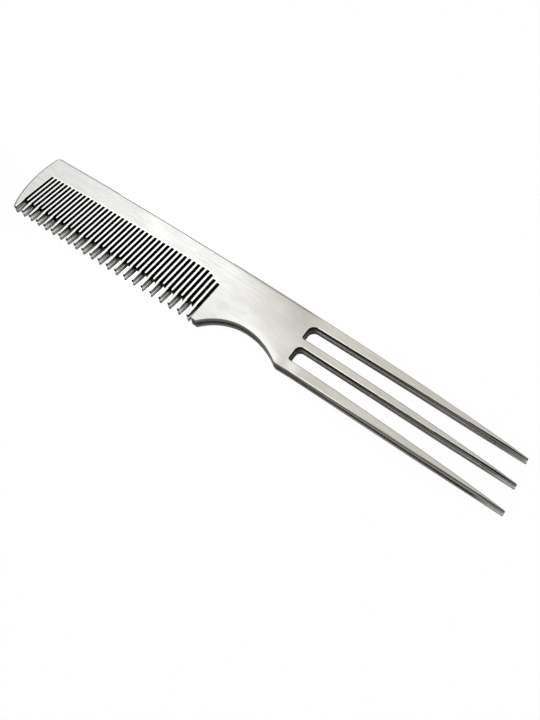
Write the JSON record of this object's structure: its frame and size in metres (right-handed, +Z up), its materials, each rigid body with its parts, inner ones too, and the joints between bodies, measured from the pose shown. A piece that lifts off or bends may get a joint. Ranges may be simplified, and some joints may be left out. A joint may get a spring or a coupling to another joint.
{
  "type": "afro pick",
  "caption": "Flat one-piece steel hair pick with a fine teasing comb at one end, a notched grip and long lifting prongs at the other.",
  "frame": {"origin": "middle of the plate's bounding box, on the flat underside that it rests on", "axes": "+X along the length towards the prong tips, +Y across the plate from the tooth tips to the back, +Z up out of the upper face"},
  "size_m": [0.2, 0.0276, 0.0022],
  "materials": {
    "steel": "stainless steel plate, faces brushed lengthwise, cut edges left with fine cross lines, rims polished"
  },
  "bodies": {
    "root": {"end_guard": "steel", "spine": "steel", "long_teeth": "steel", "short_teeth": "steel", "handle": "steel", "upper_prong": "steel", "middle_prong": "steel", "lower_prong": "steel"}
  },
  "joints": []
}
